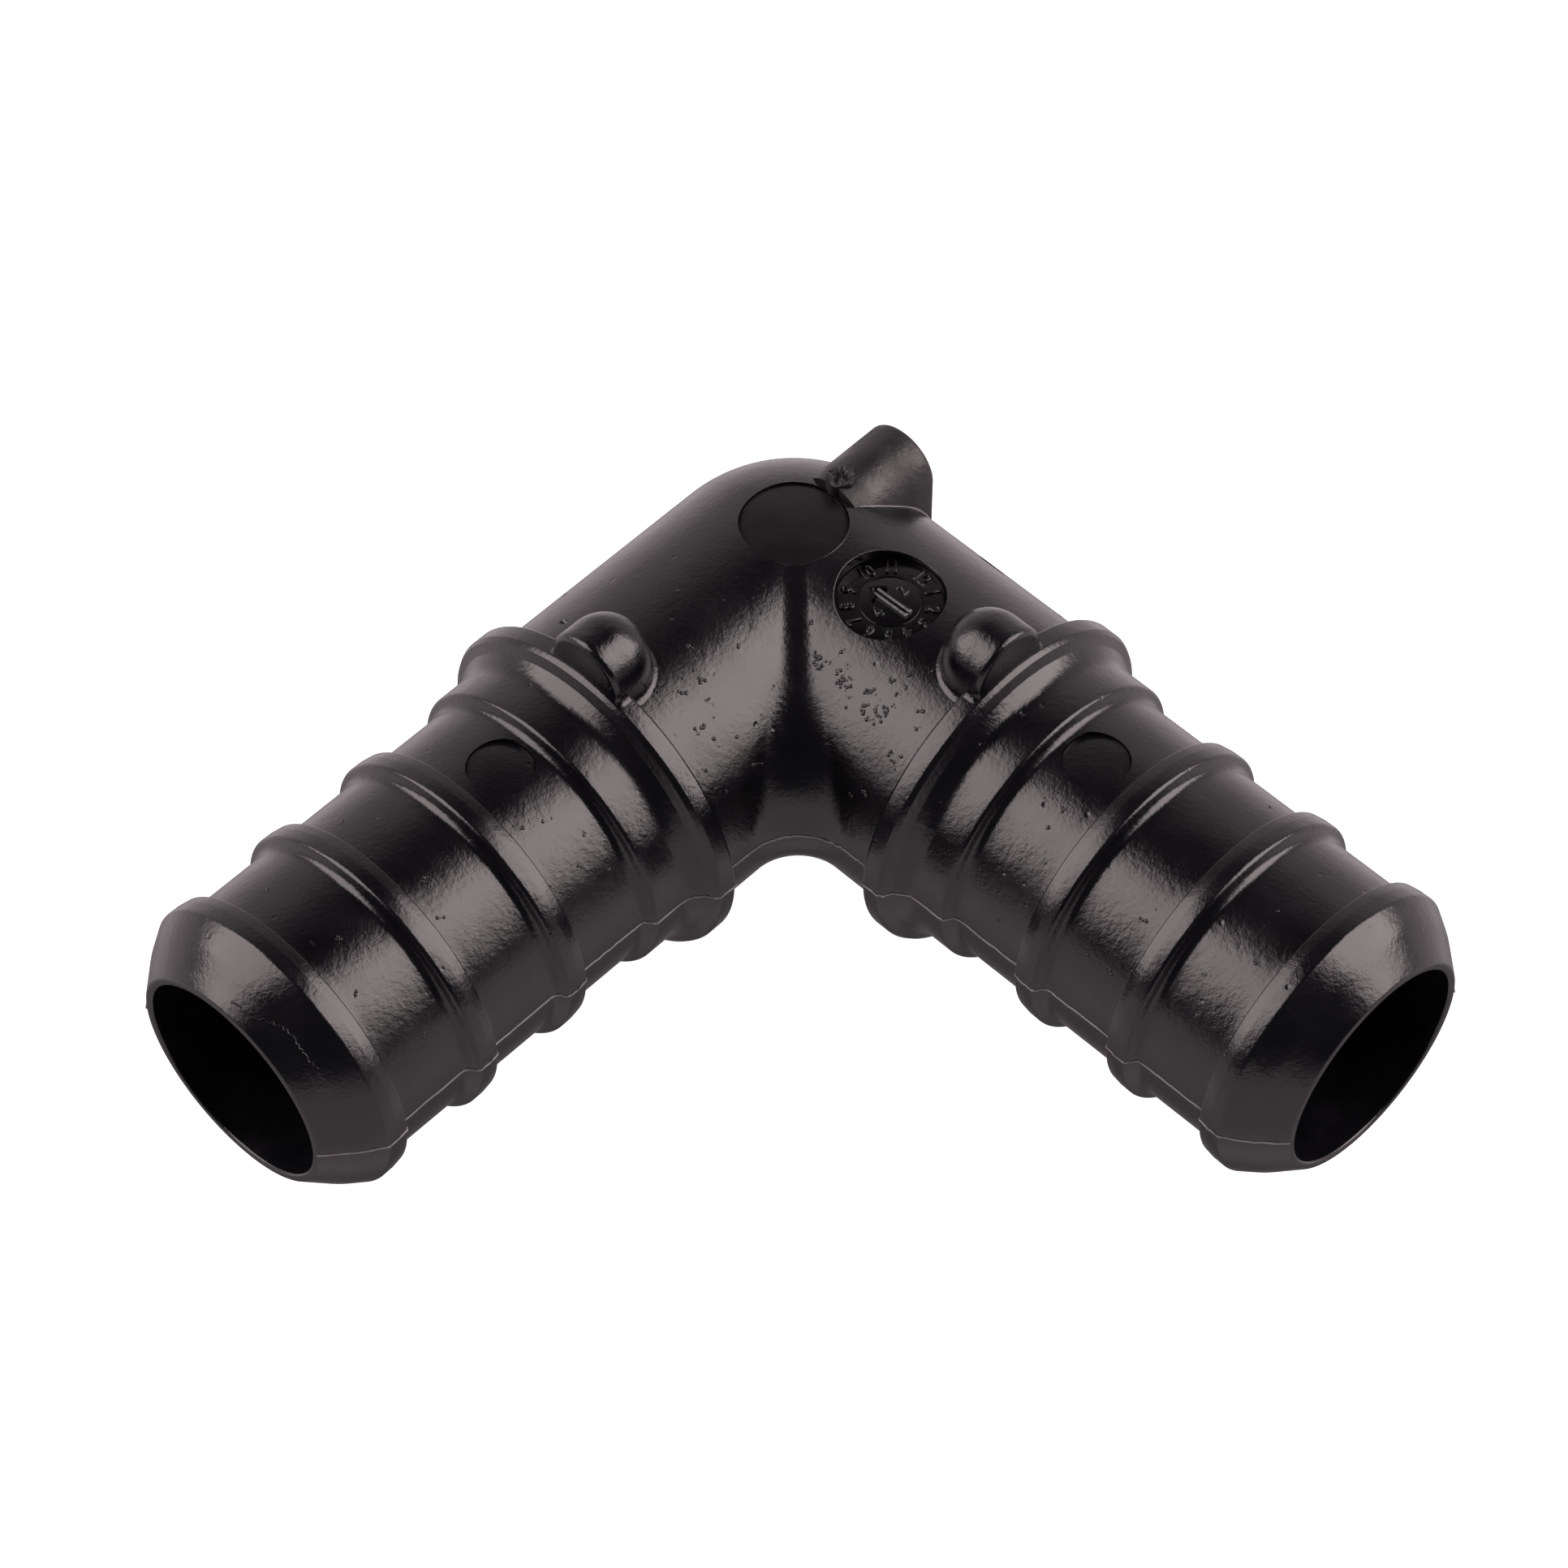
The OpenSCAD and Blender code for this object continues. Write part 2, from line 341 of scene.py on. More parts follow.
def plastic(name, colour, rough_low, rough_high, peel, wave, pits):
    """Moulded plastic: orange peel, slow waves, fine pits and smudges that change its gloss.

    Noise scales are per metre; peel, wave and pits are heights in metres.
    """
    mat = bpy.data.materials.new(name)
    mat.use_nodes = True
    tree = mat.node_tree
    shader = tree.nodes["Principled BSDF"]
    shader.inputs["IOR"].default_value = 1.5
    where = tree.nodes.new("ShaderNodeTexCoord").outputs["Object"]

    def noise(scale, detail, rough=0.5):
        node = tree.nodes.new("ShaderNodeTexNoise")
        node.inputs["Scale"].default_value = scale
        node.inputs["Detail"].default_value = detail
        node.inputs["Roughness"].default_value = rough
        tree.links.new(where, node.inputs["Vector"])
        return node.outputs["Fac"]

    def remap(value, low, high, to_low, to_high):
        node = tree.nodes.new("ShaderNodeMapRange")
        for i, number in enumerate((low, high, to_low, to_high), 1):
            node.inputs[i].default_value = number
        tree.links.new(value, node.inputs[0])
        return node.outputs[0]

    def bump(height, distance, below):
        node = tree.nodes.new("ShaderNodeBump")
        node.inputs["Strength"].default_value = 1
        node.inputs["Distance"].default_value = distance
        tree.links.new(height, node.inputs["Height"])
        if below is not None:
            tree.links.new(below, node.inputs["Normal"])
        return node.outputs["Normal"]

    tone = tree.nodes.new("ShaderNodeValToRGB")
    tone.color_ramp.elements[0].position = 0.35
    tone.color_ramp.elements[0].color = tuple(0.7 * c for c in colour) + (1,)
    tone.color_ramp.elements[1].position = 0.7
    tone.color_ramp.elements[1].color = tuple(1.3 * c for c in colour) + (1,)
    tree.links.new(noise(350, 4), tone.inputs["Fac"])
    tree.links.new(tone.outputs["Color"], shader.inputs["Base Color"])
    smudges = remap(noise(260, 5, 0.6), 0.35, 0.65, rough_low, rough_high)
    tree.links.new(smudges, shader.inputs["Roughness"])

    cells = tree.nodes.new("ShaderNodeTexVoronoi")
    cells.inputs["Scale"].default_value = 700
    tree.links.new(where, cells.inputs["Vector"])
    dent = remap(cells.outputs["Distance"], 0.0, 0.16, 1, 0)
    rare = tree.nodes.new("ShaderNodeSeparateColor")
    tree.links.new(cells.outputs["Color"], rare.inputs[0])
    chosen = remap(rare.outputs[0], 0.80, 0.82, 0, 1)
    sunk = tree.nodes.new("ShaderNodeMath")
    sunk.operation = "MULTIPLY"
    tree.links.new(dent, sunk.inputs[0])
    tree.links.new(chosen, sunk.inputs[1])

    normal = bump(noise(380, 2), wave, None)
    normal = bump(noise(2600, 4, 0.65), peel, normal)
    normal = bump(sunk.outputs[0], -pits, normal)
    tree.links.new(normal, shader.inputs["Normal"])
    return mat


GLOSS_COLOUR = (0.0030, 0.0031, 0.0037)
gloss_black = plastic("gloss black", GLOSS_COLOUR, 0.13, 0.24, peel=2.8e-5, wave=4e-5, pits=4e-5)
lug_black = plastic("lug black", GLOSS_COLOUR, 0.12, 0.2, peel=4e-5, wave=7e-5, pits=8e-5)
dull_black = plastic(
    "dull black", (0.0024, 0.0025, 0.0029), 0.26, 0.34, peel=1.2e-5, wave=1e-5, pits=1e-5)
dial_black = plastic(
    "dial black", (0.0016, 0.0017, 0.0020), 0.12, 0.2, peel=1.6e-5, wave=1e-5, pits=1e-5)
scuffed_black = plastic(
    "scuffed black", (0.0050, 0.0044, 0.0047), 0.34, 0.62, peel=5e-5, wave=9e-5, pits=2e-5)
# Pale grey for the parting line and the stub's foot edge: a painted highlight standing in for the softboxes'
# glint along these thin beads.
bead_highlight_grey = plastic(
    "bead highlight grey", (0.15, 0.14, 0.142), 0.3, 0.5, peel=3e-5, wave=1e-5, pits=1e-5)


def dress(obj, material, slot, *replaced):
    """Gives a finished piece its material and its body, and hides the nodes that it stands for; the slot is
    not used.
    """
    obj.data.materials.clear()
    obj.data.materials.append(material)
    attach(obj, "root")
    if replaced:
        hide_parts(*replaced)
    return obj


# ---------------------------------------------------------------- hose tails and collars

def tail_front():
    """The outside of a tail from its mouth back to the shoulder, as corners (distance, radius, rounding)."""
    corners = [
        (MOUTH_AT, BORE_R, 0.2),
        (MOUTH_AT, BORE_R + LIP, 0.35),
        (FIRST_CREST_AT + 1.7, 10.62, 6),
        (FIRST_CREST_AT, CREST_R, 0.5),
    ]
    for k in range(3):
        crest = FIRST_CREST_AT - k * RIB_PITCH
        if k:
            corners += [(crest + RIB_FACE, ROOT_R, 0.7), (crest, CREST_R, 0.38)]
        corners += [
            (crest - RIB_CREST, CREST_R - 0.02, 0.6),
            (crest - RIB_CREST - RIB_HEEL, HEEL_R, 0.15),
            (crest - RIB_CREST - RIB_HEEL - 0.05, ROOT_R, 0.1),
        ]
    return corners + [(SHOULDER_AT + RIB_FACE, ROOT_R, 0.7), (SHOULDER_AT, CREST_R, 0.38)]


def collar_front():
    """The outside of a collar from its foot on the tail back to the bend."""
    return [
        (SPLIT_AT, CREST_R, 0),
        (COLLAR_FOOT_AT - 0.55, CREST_R, 2.2),
        (COLLAR_EDGE_AT + 0.68, COLLAR_R - 0.93, 0.2),
        (COLLAR_EDGE_AT + 0.32, COLLAR_R - 0.22, 0.12),
        (COLLAR_EDGE_AT - 0.05, COLLAR_R, 0.25),
        (COLLAR_AT, COLLAR_R, 0.28),
    ]


def turned_piece(name, leg, corners):
    """A closed outline of corners (distance, radius, rounding) turned about a leg's centre line."""
    outline = rounded(corners)
    verts = [((r - BORE_R) * MM, -s * MM, 0) for s, r in outline]
    edges = [(i, (i + 1) % len(verts)) for i in range(len(verts))]
    obj = mesh_object(name, verts, [], edges)
    run_tree(obj, turn, **{"Segments": 256, "Path Radius": BORE_R * MM, "Material": gloss_black})
    stand = Matrix((leg[1], UP, leg[0])).transposed().to_4x4()
    obj.data.transform(stand)
    return clean(obj)


def hose_tail(name, leg):
    """The bored tail with its ribs, with a round seat sunk in its root for the pin mark."""
    obj = turned_piece(name, leg, tail_front() + [(SPLIT_AT, CREST_R, 0), (SPLIT_AT, BORE_R, 0)])
    seat = disc("seat", place(leg, PIN_AT, 0, 0), PIN_R, PIN_Z - 0.2, TUBE_R + 1)
    return smooth(cut(obj, [seat]))


def collar(name, leg):
    """The bored collar, from the split with the tail back to the bend."""
    corners = [(SPLIT_AT, BORE_R, 0)] + collar_front() + [(COLLAR_AT, BORE_R, 0)]
    return smooth(turned_piece(name, leg, corners))


for side, leg in (("left", LEFT), ("right", RIGHT)):
    dress(hose_tail(side + "_tail_moulding", leg), gloss_black, "black_plastic", side + "_hose_tail")
    dress(collar(side + "_collar_moulding", leg), gloss_black, "black_plastic", side + "_collar")
    mark = disc(side + "_pin_mark", place(leg, PIN_AT, 0, 0), PIN_R - 0.03, PIN_Z - 0.3, PIN_Z, 0.05)
    dress(smooth(clean(mark)), gloss_black, "black_plastic")


# ---------------------------------------------------------------- the bend

def bend_outline(width, web, inner):
    """One side's line at a height where the tube is that wide: left leg, corner, right leg."""
    turn_steps = 44
    leg_steps = 24
    first = width + web if inner else 0.0
    side = 1 if inner else -1
    stations = [COLLAR_AT + (first - COLLAR_AT) * k / leg_steps for k in range(leg_steps)]
    line = [LEFT[0] * s + LEFT[1] * side * width for s in stations]
    for k in range(turn_steps + 1):
        a = math.radians(135 - 90 * (k / turn_steps))
        if inner:
            middle = Vector((0, -(width + web) * math.sqrt(2), 0))
            line.append(middle + Vector((web * math.cos(a), web * math.sin(a), 0)))
        else:
            line.append(Vector((width * math.cos(a), width * math.sin(a), 0)))
    line += [RIGHT[0] * s + RIGHT[1] * side * width for s in reversed(stations)]
    return line


def bend_skin(radius, web, step):
    """Rows of points round the whole tube: up its outer side and down its inner side."""
    turns = [math.radians(-90 + step * i) for i in range(int(180 / step) + 1)]
    rows = []
    for a in turns:
        outer = bend_outline(radius * math.cos(a), web * math.cos(a), False)
        rows.append([p + UP * radius * math.sin(a) for p in outer])
    for a in turns[-2:0:-1]:
        valley = web * math.hypot(0.968 * math.cos(a) ** 2, 0.25)
        inner = bend_outline(radius * math.cos(a), valley, True)
        rows.append([p + UP * radius * math.sin(a) for p in inner])
    return rows


def elbow_bend():
    """The bored bend, its outer and inner skins closed at both ends."""
    skin_step = 1.5
    bore_web = 0.4
    outer = bend_skin(TUBE_R, WEB_R, skin_step)
    inner = bend_skin(BORE_R, bore_web, skin_step)
    count, length = len(outer), len(outer[0])
    verts = [p * MM for row in outer for p in row] + [p * MM for row in inner for p in row]
    base = count * length
    faces = []
    for i in range(count):
        j = (i + 1) % count
        for k in range(length - 1):
            faces.append((i * length + k, j * length + k, j * length + k + 1, i * length + k + 1))
            faces.append((base + i * length + k, base + i * length + k + 1,
                          base + j * length + k + 1, base + j * length + k))
        for k in (0, length - 1):
            faces.append((i * length + k, j * length + k, base + j * length + k, base + i * length + k))
    return clean(mesh_object("elbow_bend_moulding", verts, faces))


def oval(name, centre, sizes, turn_z=0.0):
    """A closed egg shape used to press a shallow dent."""
    bm = bmesh.new()
    bmesh.ops.create_uvsphere(bm, u_segments=32, v_segments=20, radius=1)
    mesh = bpy.data.meshes.new(name)
    bm.to_mesh(mesh)
    bm.free()
    spin = Matrix.Rotation(turn_z, 4, "Z")
    mesh.transform(Matrix.Translation(centre) @ spin @ Matrix.Diagonal((*(Vector(sizes) * MM), 1)))
    obj = bpy.data.objects.new(name, mesh)
    bpy.context.scene.collection.objects.link(obj)
    return obj


bend = elbow_bend()
cutters = [
    disc("face_seat", Vector(), FACE_R, FACE_Z - SEAT_SINK, TUBE_R + PAST_TUBE),
    disc("clock_seat", place(RIGHT, CLOCK_AT, 0, 0), CLOCK_R, CLOCK_Z - SEAT_SINK, TUBE_R + PAST_TUBE),
    oval("nick", place(RIGHT, 10.4, -9.75, 7.3), (1.35, 0.42, 0.42), -0.785),
    oval("slot", place(LEFT, 17.1, -6.4, 10.45), (0.3, 0.9, 0.22), 0.8),
    oval("hollow", place(STUB_LINE, 10.3, 3.3, 6.5), (2.1, 0.8, 0.7), 0.785),
]
smooth(cut(bend, cutters))
dress(bend, gloss_black, "black_plastic", "elbow_bend")

face = disc("flat_face", Vector(), FACE_R - 0.02, FACE_Z - 0.6, FACE_Z, 0.06)
dress(smooth(clean(face)), dull_black, "dull_black_plastic")


# ---------------------------------------------------------------- lugs and stub

def lug_rows():
    """How far along the leg each arch stands, and its radius, from the flat front to the round back."""
    nose = 0.45
    rows = []
    for k in range(5):
        a = math.radians(90 - 22.5 * k)
        rows.append((LUG_FRONT_AT - nose + nose * math.sin(a), LUG_R - nose * (1 - math.cos(a))))
    for k in range(1, 6):
        rows.append((LUG_FRONT_AT - nose + (LUG_MIDDLE_AT - LUG_FRONT_AT + nose) * k / 5, LUG_R))
    return rows


def tube_top(along, across):
    """Height of the tube, or of the collar's land, under a point."""
    radius = COLLAR_R if along > COLLAR_AT else TUBE_R
    return math.sqrt(radius * radius - across * across)


def lug(name, leg):
    """An upright post, flat in front, round behind and domed on top, flared where it meets the tube."""
    around = [(s, r, 0.0, 1.0) for s, r in lug_rows()]
    around += [(LUG_MIDDLE_AT, LUG_R, -math.sin(a), math.cos(a))
               for a in (math.pi * k / 28 for k in range(1, 28))]
    around += [(s, r, 0.0, -1.0) for s, r in reversed(lug_rows())]
    flare, sunk, root = 0.55, 0.015, 0.8
    dome_steps, wall_steps, flare_steps = 12, 4, 6
    rows = dome_steps + wall_steps + flare_steps + 2
    verts, faces = [], []
    for s, r, out_s, out_n in around:
        column = []
        for k in range(dome_steps + 1):
            b = math.pi / 2 * k / dome_steps
            reach = r * math.sin(b)
            column.append((s + out_s * reach, out_n * reach, LUG_DOME_Z + r * math.cos(b)))
        edge_s, edge_n = s + out_s * r, out_n * r
        foot = tube_top(edge_s, edge_n)
        for k in range(1, wall_steps + 1):
            column.append((edge_s, edge_n, LUG_DOME_Z + (foot + flare - LUG_DOME_Z) * k / wall_steps))
        for k in range(1, flare_steps + 1):
            b = math.pi / 2 * k / flare_steps
            reach = flare * (1 - math.cos(b))
            s2, n2 = edge_s + out_s * reach, edge_n + out_n * reach
            column.append((s2, n2, min(foot, tube_top(edge_s, n2)) + flare * (1 - math.sin(b)) - sunk))
        last = column[-1]
        column.append((last[0], last[1], last[2] - root))
        verts += [place(leg, *p) for p in column]
    for i in range(len(around) - 1):
        for k in range(rows - 1):
            faces.append((i * rows + k, i * rows + k + 1, (i + 1) * rows + k + 1, (i + 1) * rows + k))
    last_row = (len(around) - 1) * rows
    faces.append(list(range(rows)) + [last_row + k for k in range(rows - 1, 0, -1)])
    faces.append([i * rows + rows - 1 for i in range(len(around))])
    return smooth(clean(mesh_object(name, verts, faces), 4e-6), 40)


for side, leg in (("left", LEFT), ("right", RIGHT)):
    dress(lug(side + "_lug_moulding", leg), lug_black, "black_plastic", side + "_lug")


def corner_stub():
    """A round-topped pad: arches in a row along the left leg's line, with its end edge rounded."""
    nose, steps, arch_steps = 0.45, 16, 32
    body = STUB_END_AT - nose - STUB_BACK_AT
    stations = [(STUB_BACK_AT + body * k / steps, STUB_R) for k in range(steps)]
    stations += [(STUB_END_AT - nose + nose * math.sin(math.radians(a)),
                  STUB_R - nose * (1 - math.cos(math.radians(a)))) for a in (0, 22.5, 45, 67.5, 90)]
    arch = [(math.cos(a), math.sin(a)) for a in (math.pi * k / arch_steps for k in range(arch_steps + 1))]
    verts, faces = [], []
    for t, r in stations:
        ring = [(r, 1.0), (r, 4.0), (r, 6.0)]
        ring += [(r * c, STUB_DOME_Z + r * s) for c, s in arch]
        ring += [(-r, 6.0), (-r, 4.0), (-r, 1.0)]
        verts += [place(STUB_LINE, t, n, z) for n, z in ring]
        size = len(ring)
    for i in range(len(stations) - 1):
        for k in range(size):
            j = (k + 1) % size
            faces.append((i * size + k, i * size + j, (i + 1) * size + j, (i + 1) * size + k))
    faces.append(list(range(size))[::-1])
    faces.append([(len(stations) - 1) * size + k for k in range(size)])
    return smooth(clean(mesh_object("corner_stub_moulding", verts, faces)))


dress(corner_stub(), scuffed_black, "black_plastic", "corner_stub")


def stub_edge():
    """The witness edge along the stub's foot, where the mould's slide closed on the bend, its pale grey a
    painted highlight.
    """
    rng = random.Random(5)
    steps = 40
    verts = []
    for k in range(steps + 1):
        t = STUB_BACK_AT + 0.3 + (STUB_END_AT - 0.9 - STUB_BACK_AT) * k / steps
        height = math.sqrt(TUBE_R ** 2 - t * t) + 0.04
        wobble = rng.uniform(-0.02, 0.02)
        reach = math.sqrt(max(STUB_R ** 2 - max(height - STUB_DOME_Z, 0) ** 2, 0.0))
        verts.append(place(STUB_LINE, t, reach, height + wobble))
    obj = mesh_object("stub_edge", verts, [], [(k, k + 1) for k in range(steps)])
    return run_tree(obj, beads, **{"Bead Radius": 0.07 * MM, "Material": bead_highlight_grey})


def gate_stump():
    """The torn end of the gate: a short ragged plug."""
    rng = random.Random(7)
    middle = place(STUB_LINE, GATE_AT, -0.2, 0)
    rings, steps = 9, 36
    verts, faces = [], []
    for j in range(rings):
        f = j / (rings - 1)
        for i in range(steps):
            a = 2 * math.pi * i / steps
            if j < 3:
                r, z = 1.15 - 0.05 * j, 11.3 + 0.45 * j
            else:
                r = 1.05 * (1 - (j - 3) / (rings - 3.5))
                z = 12.3 + 0.2 * math.sin(3 * a + j) * f + rng.uniform(-0.14, 0.16)
            wobble = 1 + 0.09 * math.sin(2 * a + 1) + 0.06 * math.sin(5 * a)
            verts.append(middle + Vector((r * wobble * math.cos(a), r * wobble * math.sin(a), z)) * MM)
    for j in range(rings - 1):
        for i in range(steps):
            k = (i + 1) % steps
            faces.append((j * steps + i, j * steps + k, (j + 1) * steps + k, (j + 1) * steps + i))
    faces.append(list(range(steps))[::-1])
    faces.append([(rings - 1) * steps + i for i in range(steps)])
    return smooth(clean(mesh_object("gate_stump", verts, faces)), 60)


dress(gate_stump(), scuffed_black, "dull_black_plastic", "gate_mark")


# ---------------------------------------------------------------- date clock

CLOCK_CENTRE = place(RIGHT, CLOCK_AT, 0, 0)


def raised_text(name, words, size, bearing, radius, spin=None, height=0.34):
    """Plain figures that stand on the dial, their tops away from its middle or at the spin's bearing."""
    edge = 0.13
    narrow = 0.8
    curve = bpy.data.curves.new(name, "FONT")
    curve.body = words
    curve.size = size * MM
    curve.extrude = (height / 2 - edge) * MM
    curve.offset = -0.05 * MM
    curve.bevel_depth = edge * MM
    curve.bevel_resolution = 3
    curve.resolution_u = 4
    curve.align_x = "CENTER"
    curve.align_y = "CENTER"
    obj = bpy.data.objects.new(name, curve)
    bpy.context.scene.collection.objects.link(obj)
    bpy.context.view_layer.update()
    mesh = bpy.data.meshes.new_from_object(obj.evaluated_get(bpy.context.evaluated_depsgraph_get()))
    bpy.data.objects.remove(obj)
    bpy.data.curves.remove(curve)
    a = math.radians(bearing)
    middle = CLOCK_CENTRE + Vector((radius * math.sin(a), radius * math.cos(a), CLOCK_Z)) * MM
    turn_by = Matrix.Rotation(-math.radians(bearing if spin is None else spin), 4, "Z")
    mesh.transform(Matrix.Translation(middle) @ turn_by @ Matrix.Diagonal((narrow, 1.0, 1.0, 1.0)))
    made = bpy.data.objects.new(name, mesh)
    bpy.context.scene.collection.objects.link(made)
    return made


def skin_height(point):
    """Height of the bend's outside over a point in the plan, both in millimetres."""
    best = max(TUBE_R ** 2 - point.dot(point), 0.0)
    for leg in (LEFT, RIGHT):
        if point.dot(leg[0]) > 0:
            best = max(best, TUBE_R ** 2 - point.dot(leg[1]) ** 2)
    return math.sqrt(best)


def rim(name, centre, radius, start, end):
    """The raised burr round part of a sunk mark, its bearings in degrees from +Y."""
    verts = []
    steps = 72
    for k in range(steps + 1):
        a = math.radians(start + (end - start) * k / steps)
        point = centre / MM + Vector((radius * math.sin(a), radius * math.cos(a), 0))
        verts.append((point + UP * (skin_height(point) - 0.02)) * MM)
    obj = mesh_object(name, verts, [], [(k, k + 1) for k in range(steps)])
    return run_tree(obj, beads, **{"Bead Radius": 0.06 * MM, "Material": gloss_black})


def join(name, pieces):
    """Several pieces as one mesh."""
    bm = bmesh.new()
    for piece in pieces:
        bm.from_mesh(piece.data)
        bpy.data.objects.remove(piece)
    mesh = bpy.data.meshes.new(name)
    bm.to_mesh(mesh)
    bm.free()
    obj = bpy.data.objects.new(name, mesh)
    bpy.context.scene.collection.objects.link(obj)
    return obj


def pointer():
    """The clock's arrow, a bar with an open head, laid along its own bearing."""
    a = math.radians(ARROW_BEARING)
    ahead = Vector((math.sin(a), math.cos(a), 0))
    side = Vector((ahead.y, -ahead.x, 0))

    def bar(name, start, end, width):
        line = end - start
        across = Vector((line.y, -line.x, 0)).normalized() * width / 2
        low, high = CLOCK_Z - 0.1, CLOCK_Z + 0.3
        corners = [start + across, end + across * 0.8, end - across * 0.8, start - across]
        verts = [CLOCK_CENTRE + (p + UP * low) * MM for p in corners]
        verts += [CLOCK_CENTRE + (p + UP * (high - 0.12)) * MM for p in corners]
        inside = [start + across * 0.2 + line * 0.04, end + across * 0.15 - line * 0.04,
                  end - across * 0.15 - line * 0.04, start - across * 0.2 + line * 0.04]
        verts += [CLOCK_CENTRE + (p + UP * high) * MM for p in inside]
        faces = [(0, 1, 2, 3)[::-1], (8, 9, 10, 11)]
        for j in (0, 4):
            for k in range(4):
                n = (k + 1) % 4
                faces.append((j + k, j + n, j + 4 + n, j + 4 + k))
        return clean(mesh_object(name, verts, faces))

    width = 0.34
    tip = ahead * 1.75
    tail = ahead * -1.75
    parts = [bar("shaft_a", tail + side * 0.22, tip * 0.8 + side * 0.22, width),
             bar("shaft_b", tail - side * 0.22, tip * 0.8 - side * 0.22, width),
             bar("barb_a", tip, tip * 0.55 + side * 0.75, width),
             bar("barb_b", tip, tip * 0.55 - side * 0.75, width)]
    return join("clock_pointer", parts)


dial = disc("clock_dial", CLOCK_CENTRE, CLOCK_R - 0.02, CLOCK_Z - 0.6, CLOCK_Z, 0.05)
seat = disc("insert_seat", CLOCK_CENTRE, CLOCK_INSERT_R + 0.08, CLOCK_Z - 0.09, CLOCK_Z + 1)
cut(dial, [seat])
dress(smooth(clean(dial)), dial_black, "dull_black_plastic", "date_clock")
insert = disc("clock_insert", CLOCK_CENTRE, CLOCK_INSERT_R, CLOCK_Z - 0.3, CLOCK_Z - 0.02, 0.04)
dress(smooth(clean(insert)), dial_black, "dull_black_plastic")
figures = [raised_text("hour", str(h), 1.5, bearing, CLOCK_FIGURES_AT) for h, bearing in HOURS.items()]
figures += [raised_text("year", digit, 1.3, ARROW_BEARING + aside, CLOCK_YEAR_AT, ARROW_BEARING)
            for digit, aside in (("2", 90), ("4", 270))]
dress(smooth(clean(join("clock_figures", figures), 1e-6, False), 30), gloss_black, "dull_black_plastic")
dress(smooth(pointer(), 30), gloss_black, "dull_black_plastic")


# ---------------------------------------------------------------- lines and specks

def side_line(leg, side):
    """The tail's and collar's outline at the parting plane, from the mouth to the bend."""
    corners = tail_front()[1:] + collar_front()
    points = rounded(corners, closed=False, step=0.6)
    return [place(leg, p.x, side * p.y, 0) for p in points]


def parting_line():
    """The thin witness bead where the two mould halves met, all the way along both sides, its pale grey a
    painted highlight.
    """
    verts, edges = [], []
    for side, inner in ((1, True), (-1, False)):
        around = [p * MM for p in bend_outline(TUBE_R, WEB_R, inner)]
        line = side_line(LEFT, side) + around + side_line(RIGHT, side)[::-1]
        base = len(verts)
        verts += line
        edges += [(base + k, base + k + 1) for k in range(len(line) - 1)]
    rng = random.Random(3)
    verts = [
        v + Vector((rng.uniform(-1, 1), rng.uniform(-1, 1), 3 * rng.uniform(-1, 1))) * 0.02 * MM
        for v in verts]
    obj = mesh_object("parting_line", verts, [], edges)
    return run_tree(obj, beads, **{"Bead Radius": 0.085 * MM, "Material": bead_highlight_grey})


def weld_line():
    """A fine crooked seam on the left lead-in cone, where the melt closed up."""
    rng = random.Random(11)
    verts = []
    steps = 60
    for k in range(steps + 1):
        f = k / steps
        s = 54.9 - 1.6 * f + 0.25 * math.sin(9 * f) + rng.uniform(-0.09, 0.09)
        a = math.radians(2 + 46 * f + rng.uniform(-0.4, 0.4))
        r = 11.7 - (s - FIRST_CREST_AT) * 0.69
        verts.append(place(LEFT, s, r * math.sin(a), r * math.cos(a)))
    obj = mesh_object("weld_line", verts, [], [(k, k + 1) for k in range(steps)])
    return run_tree(obj, beads, **{"Bead Radius": 0.04 * MM, "Sides": 6, "Material": gloss_black})


